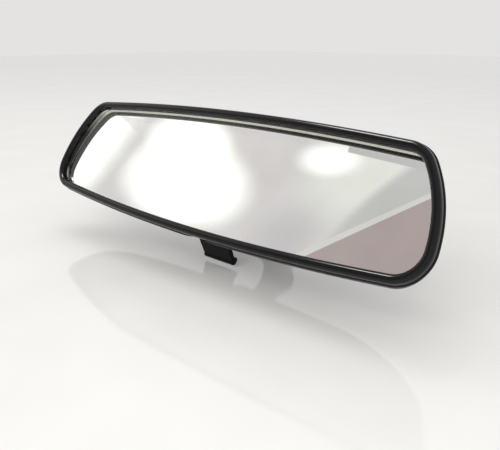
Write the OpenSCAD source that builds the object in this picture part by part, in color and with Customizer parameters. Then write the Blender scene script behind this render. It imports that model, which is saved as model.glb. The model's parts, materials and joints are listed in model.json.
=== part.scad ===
// Interior rearview mirror: dipping prism head on a ball-jointed arm with a screwed base.
// It stands as it is put on a table: on the underside of its base, with its dip lever just over the table.
// Millimetres, +Z up, X along the mirror, mirror facing -Y. Origin: middle of the base's underside.

/* [Head outline] */
// Height of the head across its middle
head_h = 65.6; // [62:0.2:68]
// Width of the head at half its height
head_w = 245; // [220:1:260]
// How much each end leans out from top to bottom, over the corner centres
end_lean = 9; // [0:0.5:12]
// Radius of the four corners
corner_r = 15.8; // [12:0.2:18]
// Rise of the top edge's bow
top_bow = 3.5; // [1:0.25:5]
// Rise of the bottom edge's bow
bottom_bow = 4.85; // [1:0.05:6]
// Rise of the bow at each end
end_bow = 2; // [0:0.25:3]

/* [Head shell] */
// Depth of the rear housing behind its rim
housing_depth = 34.4; // [33:0.2:38]
// Depth of the housing's straight collar behind its rim
collar = 7; // [6.5:0.5:9]
// Squareness of the housing's domed back
dome_power = 2.5; // [2:0.1:3]
// Inward lean of the housing's two ends behind its rim
end_taper = 28; // [24:1:29]
// Mould draft of the housing's upper and lower walls
draft = 3; // [0:0.5:3]
// Wall of the housing
wall = 1.9; // [1.7:0.1:2]
// Width of the bezel's face
bezel_w = 4.3; // [3.6:0.1:5]
// Height of the bezel's crown over the glass
bezel_crown = 2.7; // [2:0.1:3.5]

/* [Prism glass] */
// Thickness of the glass at its lower edge
glass_low_t = 1.8; // [1.6:0.1:2.2]
// Thickness of the glass at its upper edge
glass_high_t = 4.2; // [3.6:0.1:4.4]

/* [Stance] */
// Lean of the mirror's face back from upright
tilt = 30; // [26:1:34]
// Distance from the middle of the base to the middle of the mirror's face, along Y
reach = 52; // [50:0.5:56]

/* [Dipping] */
// Lean of the lever behind the head's own down direction, in the day position
lever_lean = 50; // [46:1:52]
// Turn of the lever from day to night
lever_turn = 45; // [40:1:48]
// Distance from the lever's pivot to the middle of its rolled lip
lever_len = 21; // [20:0.2:22]
// Width of the lever
lever_w = 22.2; // [20:0.2:23]
// Throw of the crank that works the carrier
crank_throw = 4.1; // [4:0.1:4.2]

/* [Ball joint] */
// Radius of the ball
ball_r = 7; // [6.8:0.1:7.1]
// Radius of the neck behind the ball
neck_r = 3.2; // [3:0.1:3.4]

/* [Base] */
// Distance between the two screw holes
screw_spacing = 42; // [40:1:44]
// Radius of each screw hole
screw_hole_r = 2.25; // [2.1:0.05:2.6]

/* [Hidden] */

$fn = 64;
plastic_black = "#1b1b1c";
satin_black = "#242425";
steel = "#b4b8bc";
zinc = "#2a2b2c";

// Gaps: a pin that turns, a pin that is pressed in, and pieces that pass each other
running_gap = 0.05;
press_gap = 0.01;
free_gap = 0.4;
far = 400;

// Outline of the head: four bowed sides between corner centres, then a fan at each corner
half_w = head_w / 2;
half_h = head_h / 2;
top_y = half_h - corner_r - top_bow;
bottom_y = -(half_h - corner_r - bottom_bow);
mid_x = half_w - corner_r - end_bow;
corner_centres = [
    [-mid_x - end_lean / 2, bottom_y], [mid_x + end_lean / 2, bottom_y],
    [mid_x - end_lean / 2, top_y], [-mid_x + end_lean / 2, top_y]
];
bows = [bottom_bow, end_bow, top_bow, end_bow];
side_steps = [16, 5, 16, 5];
corner_steps = 8;

// Head: places in its own frame, Y up along the face and Z out towards the viewer
rim_z = -1.6;
glass_z = -0.4;
glass_inset = 3.35;
glass_end_trim = 0.2;
glass_mid_t = (glass_low_t + glass_high_t) / 2;
glass_half_h = half_h - glass_inset;
wedge = atan((glass_high_t - glass_low_t) / (2 * glass_half_h));
silver_t = 0.15;
silver_margin = 0.3;
pad_t = 1.2;
pad_size = [8, 11];
pad_y = 17.5;
rib_t = 2;
rib_x = [55, 95];
rib_half_h = 25;
skirt_outer = 2.35;
skirt_inner = 3;
skirt_half = 98;
skirt_depth = 5.6;
bezel_inset = 0.6;
bezel_steps = 10;
bezel_base = 1;
bezel_lip = 0.3;
bezel_power = 0.8;
seat_gap = 0.15;
glass_gap = 0.02;
hook_x = [-84, -28, 28, 84];
hook_size = [9, 1.6, 1.8];
hook_depth = 0.25;
hook_inset = skirt_inner - hook_size.y / 2 - hook_depth;
hook_play = [1, 2, 0.8];
dome_angles = [0, 10, 20, 30, 40, 49, 57, 64, 71, 77, 83];
hole_ring_t = 2.2;
hole_ring_rise = 0.8;
hole_cut_h = 20;

// Ball joint: ball inside thin spherical shells, seen from its centre
ball_pos = [0, 2, -22];
shell_in = ball_r + running_gap;
shell_out = ball_r + 1.5;
seat_r = shell_out + running_gap;
mouth_angle = 48;
liner_front_z = -1.5;
cup_back_z = 3.6;
cup_front_z = 9;
carrier_back_z = -8;
carrier_front_z = 10.4;
boss_r = 12.5;
spring_t = 0.6;
spring_in = 3.5;
spring_out = 7.6;
retainer_t = 1.8;
retainer_half = [17, 9.5];
retainer_screw_x = 13;
retainer_screw_r = 1.5;
retainer_screw_len = 6;
retainer_screw_head = [2.7, 1.4];
cross_slot = [3, 0.7, 1.8];

// Dip hinge, at the top of the carrier, and the ears that hold it
hinge_pos = [0, 17, -12];
hinge_r = 2;
barrel_r = 4;
barrel_half = 18;
ear_t = 4.4;

// Carrier: wings under the retainer, web up to the hinge barrel and a flank at each end of the web
wing_half = 5;
wing_t = 6;
web_foot = 6;
web_t = 3.5;
web_front = hinge_pos.z - 1.5;
flank_t = 3;
flank_foot = 2;
flank_h = 6.5;

// Dip lever: pivot, crank and rolled lip
lever_pos = [0, -23, -12.5];
lever_pin_r = 1.5;
hub_r = 3.6;
cheek_in = 4.6;
cheek_out = lever_w / 2 - free_gap;
lever_t = 2.2;
lip_r = 1.6;
lip_out = 1.1;
lip_half = lever_w / 2 - 0.8;
lip_lift = 1.5;
lever_root = hub_r + 0.6;
web_step = 0.2;
web_half_t = lever_t / 2 - web_step;
crank_pin_r = 1.25;
crank_boss_r = 2.5;
crank_angle = lever_turn / 2;
crank_pos = lever_pos + crank_throw * [0, cos(crank_angle), sin(crank_angle)];
fork_half = 3.5;
fork_wall = 2;
fork_gap = 0.15;
fork_clear = 0.6;
fork_depth = 1.5;
lever_ear_in = lever_w / 2 + 1.6;
lever_ear_t = 3.6;
lever_ear_front = -8.4;
notch_half = lever_w / 2 + 1.2;
notch_back = -26;
strip_t = 0.5;
strip_y = [-27, -22.6];
rivet_r = 0.9;
rivet_len = 1.8;
rivet_head = [1.7, 1.1, 0.7];
rivet_pos = [lever_ear_in + lever_ear_t / 2, (strip_y[0] + strip_y[1]) / 2, lever_ear_front];
arm_hole_r = 13.9;

// Base, arm and what holds them together
gasket_t = 1.2;
flange_t = 3;
flange_r = 17;
flange_half = 12;
base_boss_r = [14.5, 12];
base_top = 7.2;
arm_foot_z = 7.25;
arm_foot_r = 11.5;
arm_foot_t = 1.2;
arm_post_r = 8.2;
elbow_r = 9.4;
arm_flare_top = 15;
flare_steps = 8;
washer_in = 3;
washer_out = 7;
washer_t = 1;
arm_screw_r = 2.5;
arm_screw_head = [4.5, 3];
head_lift = 0.2;
gasket_step = 0.5;
gasket_hole_step = 0.75;
stem_start = 19;
stem_r = [6.2, 7.8];
collar_r = 5;
collar_h = [1.4, 3];
screw_depth = 9;
screw_len = 11;
socket_key_r = 1.9;
socket_key_depth = 1.8;
shank_r = 3;
shank_end = 34;

// Height of the head's middle: the lip of the lever is just over the table
lip_pos = lever_pos - lever_len * [0, cos(lever_lean), sin(lever_lean)];
head_z = lip_lift + lip_r - (lip_pos.y * cos(tilt) + lip_pos.z * sin(tilt));
head_pos = [0, -reach, head_z];
ball_row = head_pos + [
    0,
    ball_pos.y * sin(tilt) - ball_pos.z * cos(tilt),
    ball_pos.y * cos(tilt) + ball_pos.z * sin(tilt)
];

// Elbow of the arm: where the stem's axis meets the base's axis
elbow_dist = -ball_row.y / cos(tilt);
elbow_z = ball_row.z - elbow_dist * sin(tilt);

function flat(list) = [for (part = list) each part];

function unit(v) = v / norm(v);

// Outward side of a direction on a loop that runs anticlockwise
function outward(v) = unit([v.y, -v.x]);

function next_corner(i) = corner_centres[(i + 1) % 4];

// Point and outward direction at a share t of the way along bowed side i
function side_point(i, t) =
    let (p = corner_centres[i], q = next_corner(i))
    p + t * (q - p) + 4 * bows[i] * t * (1 - t) * outward(q - p);

function side_normal(i, t) =
    let (p = corner_centres[i], q = next_corner(i))
    outward((q - p) + 4 * bows[i] * (1 - 2 * t) * outward(q - p));

function angle_of(v) = atan2(v.y, v.x);

// Loop of points that runs a given distance inside the head's outline
function outline(inset) =
    let (r = corner_r - inset)
    flat([
        for (i = [0:3])
        let (
            start = angle_of(side_normal(i, 1)),
            turn = (angle_of(side_normal((i + 1) % 4, 0)) - start + 360) % 360
        )
        concat(
            [
                for (k = [0:side_steps[i]])
                let (t = k / side_steps[i])
                side_point(i, t) + r * side_normal(i, t)
            ],
            [
                for (k = [1:corner_steps - 1])
                let (a = start + turn * k / corner_steps)
                side_point(i, 1) + r * [cos(a), sin(a)]
            ]
        )
    ]);

// Ring of the housing at a height: its ends lean in with depth, and its long walls have draft
function ring_at(points, z, size) =
    let (
        along = size * (1 - (rim_z - z) * tan(end_taper) / half_w),
        across = size * (1 - (rim_z - z) * tan(draft) / half_h)
    )
    [for (p = points) [p.x * along, p.y * across, z]];

// Outline of the glass, which stays clear of the housing's leaning ends
function glass_outline(inset) = [for (p = outline(inset)) [p.x * (1 - glass_end_trim / half_w), p.y]];

// Rings of the housing, from the rim over a straight collar to the flat patch behind the ball joint
function dome_rings(inset, depth) =
    let (loop = outline(inset), dome = depth - collar, power = 2 / dome_power)
    concat(
        [ring_at(loop, rim_z, 1)],
        [for (a = dome_angles) ring_at(loop, rim_z - collar - dome * pow(sin(a), power), pow(cos(a), power))]
    );

function reversed(list) = [for (i = [len(list) - 1:-1:0]) list[i]];

// Edge of the head over x: side is 1 at the top and -1 at the bottom
function edge_y(x, side) =
    let (
        half = side > 0 ? mid_x - end_lean / 2 : mid_x + end_lean / 2,
        bow = side > 0 ? top_bow : bottom_bow
    )
    side * (half_h - bow * pow(x / half, 2));

// Solid through a list of equal rings, closed by its first and last ring
module loft(rings) {
    count = len(rings[0]);
    last = len(rings) - 1;
    polyhedron(
        points = flat(rings),
        faces = concat(
            [[for (i = [count - 1:-1:0]) i]],
            [
                for (k = [0:last - 1], i = [0:count - 1], half = [0, 1])
                let (j = (i + 1) % count, low = k * count, high = low + count)
                half == 0 ? [low + i, low + j, high + i] : [low + j, high + j, high + i]
            ],
            [[for (i = [0:count - 1]) last * count + i]]
        )
    );
}

// Solid whose closed profile, in inset and height, runs round the head's outline
module outline_sweep(profile) {
    loops = [for (p = profile) [for (q = outline(p.x)) [q.x, q.y, p.y]]];
    count = len(loops[0]);
    turns = len(loops);
    polyhedron(
        points = flat(loops),
        faces = [
            for (k = [0:turns - 1], i = [0:count - 1], half = [0, 1])
            let (j = (i + 1) % count, low = k * count, high = ((k + 1) % turns) * count)
            half == 0 ? [low + i, high + i, low + j] : [low + j, high + i, high + j]
        ]
    );
}

// Frames: the head leans back, the ball joint's axis runs out of the head's back
module in_head() {
    translate(head_pos)
        rotate([90 - tilt, 0, 0])
            children();
}

module in_ball() {
    in_head()
        translate(ball_pos)
            children();
}

module behind_glass() {
    translate([0, 0, glass_z - glass_mid_t])
        rotate([-wedge, 0, 0])
            children();
}

// Round bar along X, centred on a place in the head
module cross_bar(place, r, length) {
    translate(place)
        rotate([0, 90, 0])
            cylinder(h = length, r = r, center = true);
}

// Block between two corners
module block(low, high) {
    translate(low)
        cube(high - low);
}

module both_sides() {
    for (side = [0, 1])
        mirror([side, 0, 0])
            children();
}

// Shell of the rear housing alone: out along the inside, back along the outside
module housing_shell() {
    loft(concat(
        reversed(dome_rings(wall, housing_depth - wall)),
        dome_rings(0, housing_depth)
    ));
}

module housing_solid() {
    loft(dome_rings(wall / 2, housing_depth - wall / 2));
}

// Ears for both pivots and the ribs behind the glass, before they are trimmed to the shell
module housing_inner_walls() {
    both_sides() {
        block(
            [barrel_half + free_gap, hinge_pos.y - barrel_r, hinge_pos.z - barrel_r - 1],
            [barrel_half + free_gap + ear_t, half_h, hinge_pos.z + barrel_r]
        );
        block(
            [lever_ear_in, -half_h, lever_pos.z - hub_r - 1],
            [lever_ear_in + lever_ear_t, lever_pos.y + hub_r, lever_ear_front]
        );
        for (x = rib_x)
            block([x - rib_t / 2, -rib_half_h, -housing_depth], [x + rib_t / 2, rib_half_h, glass_z]);
    }
}

module rear_housing() {
    color(plastic_black)
        in_head()
            difference() {
                union() {
                    housing_shell();
                    translate([0, ball_pos.y, rim_z - housing_depth - hole_ring_rise])
                        cylinder(h = hole_ring_rise + 2 * wall, r = arm_hole_r + hole_ring_t);
                    difference() {
                        intersection() {
                            housing_solid();
                            housing_inner_walls();
                        }
                        behind_glass()
                            translate([-far / 2, -far / 2, -silver_t - pad_t])
                                cube([far, far, far]);
                    }
                }
                translate([0, ball_pos.y, rim_z - housing_depth - hole_cut_h / 2])
                    cylinder(h = hole_cut_h, r = arm_hole_r);
                block([-notch_half, -half_h - 1, notch_back], [notch_half, lever_pos.y - hub_r, 1]);
                cross_bar(hinge_pos, hinge_r + running_gap, 2 * (barrel_half + ear_t) + 4);
                cross_bar(lever_pos, lever_pin_r + press_gap, 2 * (lever_ear_in + lever_ear_t) + 2);
                both_sides()
                    translate(rivet_pos - [0, 0, rivet_len])
                        cylinder(h = far, r = rivet_r + press_gap);
                for (x = hook_x, side = [-1, 1])
                    translate([x, edge_y(x, side) - side * wall / 2, rim_z - skirt_depth + hook_size.z])
                        cube([hook_size.x, 2 * wall, hook_size.z] + hook_play, center = true);
            }
}

// Crown of the bezel from its outer edge over to the glass, then the skirt that goes into the housing
module bezel() {
    crown = [
        for (k = [0:bezel_steps])
        let (a = 180 * k / bezel_steps)
        [
            bezel_inset + bezel_w / 2 * (1 - cos(a)),
            rim_z + bezel_base + (bezel_crown + glass_z - rim_z - bezel_base) * pow(sin(a), bezel_power)
        ]
    ];
    color(satin_black)
        in_head()
            union() {
                difference() {
                    outline_sweep(concat(
                        [[bezel_inset, rim_z + seat_gap]],
                        [for (k = [0:bezel_steps - 1]) crown[k]],
                        [
                            [bezel_inset + bezel_w, glass_z + bezel_lip],
                            [bezel_inset + bezel_w, glass_z + glass_gap],
                            [skirt_inner, glass_z + glass_gap],
                            [skirt_inner, rim_z - skirt_depth],
                            [skirt_outer, rim_z - skirt_depth],
                            [skirt_outer, rim_z + seat_gap]
                        ]
                    ));
                    both_sides()
                        block([skirt_half, -half_h, rim_z - far], [far, half_h, rim_z]);
                }
                for (x = hook_x, side = [-1, 1])
                    translate([x, edge_y(x, side) - side * hook_inset, rim_z - skirt_depth + hook_size.z])
                        cube(hook_size, center = true);
            }
}

// Wedge of glass: flat front, back leaning so that the upper edge is the thick one
module prism_glass() {
    color("#dfe7e6", 0.5)
        in_head()
            difference() {
                translate([0, 0, glass_z - 2 * glass_high_t])
                    linear_extrude(2 * glass_high_t)
                        polygon(glass_outline(glass_inset));
                behind_glass()
                    translate([-far / 2, -far / 2, -far])
                        cube([far, far, far]);
            }
}

module silver_layer() {
    color("#d9dcde")
        in_head()
            behind_glass()
                translate([0, 0, -silver_t])
                    linear_extrude(silver_t)
                        polygon(glass_outline(glass_inset + silver_margin));
}

module glass_pads() {
    color("#3a3a3a")
        in_head()
            behind_glass()
                for (x = rib_x, side = [-1, 1], row = [-1, 1])
                    translate([side * x, row * pad_y, -silver_t - pad_t / 2])
                        cube([pad_size.x, pad_size.y, pad_t], center = true);
}

// Flat tab with a rolled lip at its tip, and two cheeks that carry the crank
module dip_lever() {
    color(plastic_black)
        in_head()
            difference() {
                union() {
                    translate(lever_pos)
                        rotate([lever_lean, 0, 0]) {
                            linear_extrude(lever_t, center = true)
                                polygon([
                                    [-lever_w / 2, -lever_root], [lever_w / 2, -lever_root],
                                    [lip_half, -lever_len], [-lip_half, -lever_len]
                                ]);
                            translate([0, -lever_len, 0])
                                rotate([0, 90, 0])
                                    cylinder(h = 2 * lip_half, r = lip_r, center = true);
                            translate([0, -lever_len + free_gap, -lip_out])
                                rotate([0, 90, 0])
                                    cylinder(h = 2 * lip_half, r = lip_r, center = true);
                        }
                    both_sides() {
                        translate([cheek_in, 0, 0] + lever_pos)
                            rotate([0, 90, 0])
                                cylinder(h = cheek_out - cheek_in, r = hub_r);
                        translate([cheek_in, 0, 0] + crank_pos)
                            rotate([0, 90, 0])
                                cylinder(h = cheek_out - cheek_in, r = crank_boss_r);
                        translate(lever_pos)
                            rotate([lever_lean, 0, 0])
                                block(
                                    [cheek_in + free_gap, -lever_root - 2 * web_step, -web_half_t],
                                    [cheek_out - free_gap, 0, web_half_t]
                                );
                    }
                }
                cross_bar(lever_pos, lever_pin_r + running_gap, lever_w + 2);
                cross_bar(crank_pos, crank_pin_r + press_gap, lever_w + 2);
            }
}

module crank_pin() {
    color(steel)
        in_head()
            cross_bar(crank_pos, crank_pin_r, lever_w);
}

module lever_pin() {
    color(steel)
        in_head()
            cross_bar(lever_pos, lever_pin_r, 2 * (lever_ear_in + lever_ear_t));
}

// Sprung strip across the lever's ears that bears on the hubs
module detent_spring() {
    color(steel)
        in_head()
            difference() {
                block(
                    [-lever_ear_in - lever_ear_t, strip_y[0], lever_ear_front],
                    [lever_ear_in + lever_ear_t, strip_y[1], lever_ear_front + strip_t]
                );
                both_sides()
                    translate(rivet_pos)
                        cylinder(h = far, r = rivet_r + press_gap, center = true);
            }
}

module spring_rivets() {
    color(steel)
        in_head()
            both_sides()
                translate(rivet_pos) {
                    translate([0, 0, -rivet_len])
                        cylinder(h = rivet_len + strip_t + rivet_head[2] / 2, r = rivet_r);
                    translate([0, 0, strip_t])
                        cylinder(h = rivet_head[2], r1 = rivet_head[0], r2 = rivet_head[1]);
                }
}

// Socket for the ball, hinge barrel over it and a fork under it for the crank
module socket_carrier() {
    fork_centre = crank_pos.z;
    fork_front = fork_centre + crank_pin_r + fork_gap + fork_wall;
    fork_back = fork_centre - crank_pin_r - fork_gap - fork_wall;
    fork_end = lever_pos.y + lever_pin_r + fork_clear;
    boss_back = ball_pos.z + carrier_back_z;
    boss_front = ball_pos.z + carrier_front_z;
    color(satin_black)
        in_head()
            difference() {
                union() {
                    translate(ball_pos + [0, 0, carrier_back_z])
                        cylinder(h = carrier_front_z - carrier_back_z, r = boss_r);
                    block(
                        [-retainer_half.x, ball_pos.y - wing_half, boss_front - wing_t],
                        [retainer_half.x, ball_pos.y + wing_half, boss_front]
                    );
                    block(
                        [-barrel_half, ball_pos.y + web_foot, web_front - web_t],
                        [barrel_half, hinge_pos.y, web_front]
                    );
                    both_sides()
                        block(
                            [barrel_half - flank_t, ball_pos.y + flank_foot, web_front - flank_h],
                            [barrel_half, hinge_pos.y, web_front]
                        );
                    cross_bar(hinge_pos, barrel_r, 2 * barrel_half);
                    block(
                        [-fork_half, fork_end, fork_back],
                        [fork_half, ball_pos.y - boss_r + 2, fork_front]
                    );
                }
                translate(ball_pos)
                    sphere(r = seat_r);
                translate(ball_pos)
                    cylinder(h = far, r = seat_r);
                translate(ball_pos)
                    mirror([0, 0, 1])
                        cylinder(h = boss_r, r1 = 0, r2 = boss_r * tan(mouth_angle));
                block(
                    [-far / 2, fork_end - 1, fork_centre - crank_pin_r - fork_gap],
                    [far / 2, crank_pos.y + crank_pin_r + fork_depth, fork_centre + crank_pin_r + fork_gap]
                );
                cross_bar(hinge_pos, hinge_r + press_gap, far);
                both_sides()
                    translate([retainer_screw_x, ball_pos.y, boss_front - retainer_screw_len - 1])
                        cylinder(h = far, r = retainer_screw_r + press_gap);
            }
}

module hinge_pin() {
    color(steel)
        in_head()
            cross_bar(hinge_pos, hinge_r, 2 * (barrel_half + free_gap + ear_t));
}

// Ring of bearing plastic between the ball and the back of the socket
module socket_liner() {
    color("#d8d6cf")
        in_ball()
            difference() {
                sphere(r = shell_out);
                sphere(r = shell_in);
                mirror([0, 0, 1])
                    cylinder(h = boss_r, r1 = 0, r2 = boss_r * tan(mouth_angle));
                translate([-far / 2, -far / 2, liner_front_z])
                    cube([far, far, far]);
            }
}

// Cup that the spring presses onto the front of the ball
module pressure_cup() {
    color("#d8d6cf")
        in_ball()
            difference() {
                translate([0, 0, cup_back_z])
                    cylinder(h = cup_front_z - cup_back_z, r = shell_out - running_gap);
                sphere(r = shell_in);
            }
}

// Coned spring between the cup and the retainer
module disc_spring() {
    rise = carrier_front_z - cup_front_z - spring_t - 2 * running_gap;
    color(steel)
        in_ball()
            translate([0, 0, cup_front_z + running_gap])
                rotate_extrude()
                    polygon([
                        [spring_in, rise], [spring_out, 0],
                        [spring_out, spring_t], [spring_in, rise + spring_t]
                    ]);
}

module spring_retainer() {
    color(steel)
        in_ball()
            translate([0, 0, carrier_front_z])
                difference() {
                    linear_extrude(retainer_t)
                        intersection() {
                            square(2 * retainer_half, center = true);
                            circle(r = retainer_half.x);
                        }
                    translate([0, 0, -1])
                        cylinder(h = retainer_t + 2, r = spring_in);
                    both_sides()
                        translate([retainer_screw_x, 0, -1])
                            cylinder(h = retainer_t + 2, r = retainer_screw_r + press_gap);
                }
}

module retainer_screws() {
    color(steel)
        in_ball()
            both_sides()
                translate([retainer_screw_x, 0, carrier_front_z]) {
                    translate([0, 0, -retainer_screw_len])
                        cylinder(h = retainer_screw_len + retainer_t, r = retainer_screw_r);
                    translate([0, 0, retainer_t])
                        difference() {
                            cylinder(h = retainer_screw_head[1], r = retainer_screw_head[0]);
                            for (turn = [0, 90])
                                rotate(turn)
                                    translate([0, 0, retainer_screw_head[1]])
                                        cube(cross_slot, center = true);
                        }
                }
}

// Ball, its neck and the ribbed shank that is pressed into the arm
module ball_stud() {
    color(steel)
        in_ball()
            union() {
                sphere(r = ball_r);
                mirror([0, 0, 1])
                    rotate_extrude()
                        polygon([
                            [0, ball_r / 2], [neck_r, ball_r / 2], [neck_r, stem_start - collar_h[1]],
                            [collar_r, stem_start - collar_h[0]], [collar_r, stem_start],
                            [shank_r, stem_start], [shank_r, shank_end], [0, shank_end]
                        ]);
            }
}

// Post with a flared foot, a round elbow and a tapered stem up to the ball
module arm() {
    foot_top = arm_foot_z + arm_foot_t;
    flare = [
        for (k = [0:flare_steps])
        let (a = 90 * k / flare_steps)
        [
            arm_post_r + (arm_foot_r - arm_post_r) * (1 - sin(a)),
            foot_top + (arm_flare_top - foot_top) * (1 - cos(a))
        ]
    ];
    color(zinc)
        difference() {
            union() {
                rotate_extrude()
                    polygon(concat(
                        [[0, arm_foot_z], [arm_foot_r, arm_foot_z]],
                        flare,
                        [[arm_post_r, elbow_z], [0, elbow_z]]
                    ));
                translate([0, 0, elbow_z])
                    sphere(r = elbow_r);
                along_stem()
                    translate([0, 0, stem_start])
                        cylinder(h = elbow_dist - stem_start, r1 = stem_r[0], r2 = stem_r[1]);
            }
            along_stem()
                cylinder(h = shank_end + free_gap, r = shank_r + press_gap);
            translate([0, 0, arm_foot_z - 1])
                cylinder(h = washer_t + 1 + running_gap, r = washer_out + running_gap);
            translate([0, 0, arm_foot_z - 1])
                cylinder(h = screw_depth, r = arm_screw_r + press_gap);
        }
}

module along_stem() {
    translate(ball_row)
        rotate([-90 - tilt, 0, 0])
            children();
}

module base_outline(grow) {
    for (side = [-1, 1])
        translate([side * flange_half, 0])
            circle(r = flange_r + grow);
    square([2 * flange_half, 2 * (flange_r + grow)], center = true);
}

module screw_holes(r, low, high) {
    both_sides()
        translate([screw_spacing / 2, 0, low])
            cylinder(h = high - low, r = r);
}

// Screwed flange with a round seat for the arm's foot
module base_plate() {
    flange_top = gasket_t + flange_t;
    color(zinc)
        difference() {
            union() {
                translate([0, 0, gasket_t])
                    linear_extrude(flange_t)
                        base_outline(0);
                translate([0, 0, flange_top])
                    cylinder(h = base_top - flange_top, r1 = base_boss_r[0], r2 = base_boss_r[1]);
            }
            screw_holes(screw_hole_r, 0, base_top + 1);
            translate([0, 0, gasket_t - 1])
                cylinder(h = arm_screw_head[1] + 1 + head_lift, r = arm_screw_head[0] + free_gap);
            cylinder(h = far, r = arm_screw_r + head_lift);
        }
}

module base_gasket() {
    color("#161616")
        difference() {
            linear_extrude(gasket_t)
                base_outline(-gasket_step);
            screw_holes(screw_hole_r + gasket_hole_step, -1, gasket_t + 1);
            translate([0, 0, -1])
                cylinder(h = gasket_t + 2, r = arm_screw_head[0] + gasket_hole_step);
        }
}

module spring_washer() {
    color(steel)
        translate([0, 0, base_top])
            difference() {
                cylinder(h = washer_t, r = washer_out);
                translate([0, 0, -1])
                    cylinder(h = washer_t + 2, r = washer_in);
            }
}

module arm_screw() {
    color(steel)
        difference() {
            union() {
                translate([0, 0, gasket_t + head_lift])
                    cylinder(h = arm_screw_head[1], r = arm_screw_head[0]);
                translate([0, 0, gasket_t + arm_screw_head[1]])
                    cylinder(h = screw_len, r = arm_screw_r);
            }
            translate([0, 0, gasket_t])
                cylinder(h = head_lift + socket_key_depth, r = socket_key_r, $fn = 6);
        }
}

rear_housing();
bezel();
prism_glass();
silver_layer();
glass_pads();
dip_lever();
crank_pin();
lever_pin();
detent_spring();
spring_rivets();
socket_carrier();
hinge_pin();
socket_liner();
pressure_cup();
disc_spring();
spring_retainer();
retainer_screws();
ball_stud();
arm();
base_plate();
base_gasket();
spring_washer();
arm_screw();
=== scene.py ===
"""Looks of an interior rearview mirror, built around its packed construction.

The construction gives the joints and the mechanism. This script dresses them: moulded black plastics, a prism
glass with silvering and a ground edge, plated steel and a powder-coated arm, on a pale glossy table.
"""

import json
import logging
import math
from dataclasses import dataclass, field
from enum import Enum
from typing import Optional, Sequence

import bmesh
import bpy
from mathutils import Matrix, Vector


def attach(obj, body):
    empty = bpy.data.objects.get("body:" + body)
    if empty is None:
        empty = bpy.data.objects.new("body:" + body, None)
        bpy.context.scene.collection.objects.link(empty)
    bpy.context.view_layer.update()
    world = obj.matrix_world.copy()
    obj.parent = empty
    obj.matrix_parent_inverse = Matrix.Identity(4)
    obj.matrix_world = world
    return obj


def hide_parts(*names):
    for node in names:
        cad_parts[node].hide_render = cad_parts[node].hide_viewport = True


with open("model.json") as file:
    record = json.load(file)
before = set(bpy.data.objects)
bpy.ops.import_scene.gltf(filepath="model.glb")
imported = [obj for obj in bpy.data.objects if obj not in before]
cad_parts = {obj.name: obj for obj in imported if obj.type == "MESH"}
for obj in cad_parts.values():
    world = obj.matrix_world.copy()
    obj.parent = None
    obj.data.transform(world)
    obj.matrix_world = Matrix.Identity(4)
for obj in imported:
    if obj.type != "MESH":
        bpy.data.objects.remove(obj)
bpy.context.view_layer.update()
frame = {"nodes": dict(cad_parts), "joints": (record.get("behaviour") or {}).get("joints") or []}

log = logging.getLogger("rearview_mirror")
MM = 0.001

Point2 = tuple[float, float]
Point3 = tuple[float, float, float]
Face = tuple[int, ...]


def to_linear(hex_colour: str) -> tuple[float, float, float, float]:
    """Turn an sRGB hex colour into a linear one.

    Args:
        hex_colour: six hex digits after a hash sign.

    Returns:
        Linear red, green, blue and an alpha of one.
    """
    values = [int(hex_colour[i:i + 2], 16) / 255 for i in (1, 3, 5)]
    linear = [v / 12.92 if v <= 0.04045 else ((v + 0.055) / 1.055) ** 2.4 for v in values]
    return linear[0], linear[1], linear[2], 1.0


def per_mm(size: float) -> float:
    """Texture scale at which one cell of a pattern is a given number of millimetres."""
    return 1.0 / (size * MM)


def add_node(tree: bpy.types.NodeTree, kind: str, values: Optional[dict] = None,
             links: Optional[dict] = None, **settings: object) -> bpy.types.Node:
    """Add a shader node with its settings, socket values and incoming links.

    Args:
        tree: node tree that takes the node.
        kind: Blender's name of the node type.
        values: input socket to constant value.
        links: input socket to the output socket that feeds it.
        settings: properties of the node itself.

    Returns:
        The new node.
    """
    node = tree.nodes.new(kind)
    for name, value in settings.items():
        setattr(node, name, value)
    for socket, value in (values or {}).items():
        node.inputs[socket].default_value = value
    for socket, source in (links or {}).items():
        tree.links.new(source, node.inputs[socket])
    return node


def new_material(name: str) -> tuple[bpy.types.Material, bpy.types.NodeTree, bpy.types.Node]:
    """Start an empty node material.

    Args:
        name: name of the material.

    Returns:
        The material, its node tree and its output node.
    """
    material = bpy.data.materials.new(name)
    material.use_nodes = True
    tree = material.node_tree
    tree.nodes.clear()
    return material, tree, add_node(tree, "ShaderNodeOutputMaterial")


def ramp(tree: bpy.types.NodeTree, source: bpy.types.NodeSocket, low: str, high: str,
         span: Point2) -> bpy.types.NodeSocket:
    """Colour that runs between two hex colours as a pattern's value runs over a span.

    Args:
        tree: node tree that takes the ramp.
        source: the pattern's value.
        low: colour at the start of the span.
        high: colour at its end.
        span: values at which the colours are reached.

    Returns:
        The ramp's colour socket.
    """
    node = add_node(tree, "ShaderNodeValToRGB", links={"Fac": source})
    for element, place, colour in zip(node.color_ramp.elements, span, (low, high)):
        element.position = place
        element.color = to_linear(colour)
    return node.outputs["Color"]


class Grain(Enum):
    """How the mould of a plastic piece was finished."""

    SPARK = "SPARK"
    POLISHED = "POLISHED"


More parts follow.
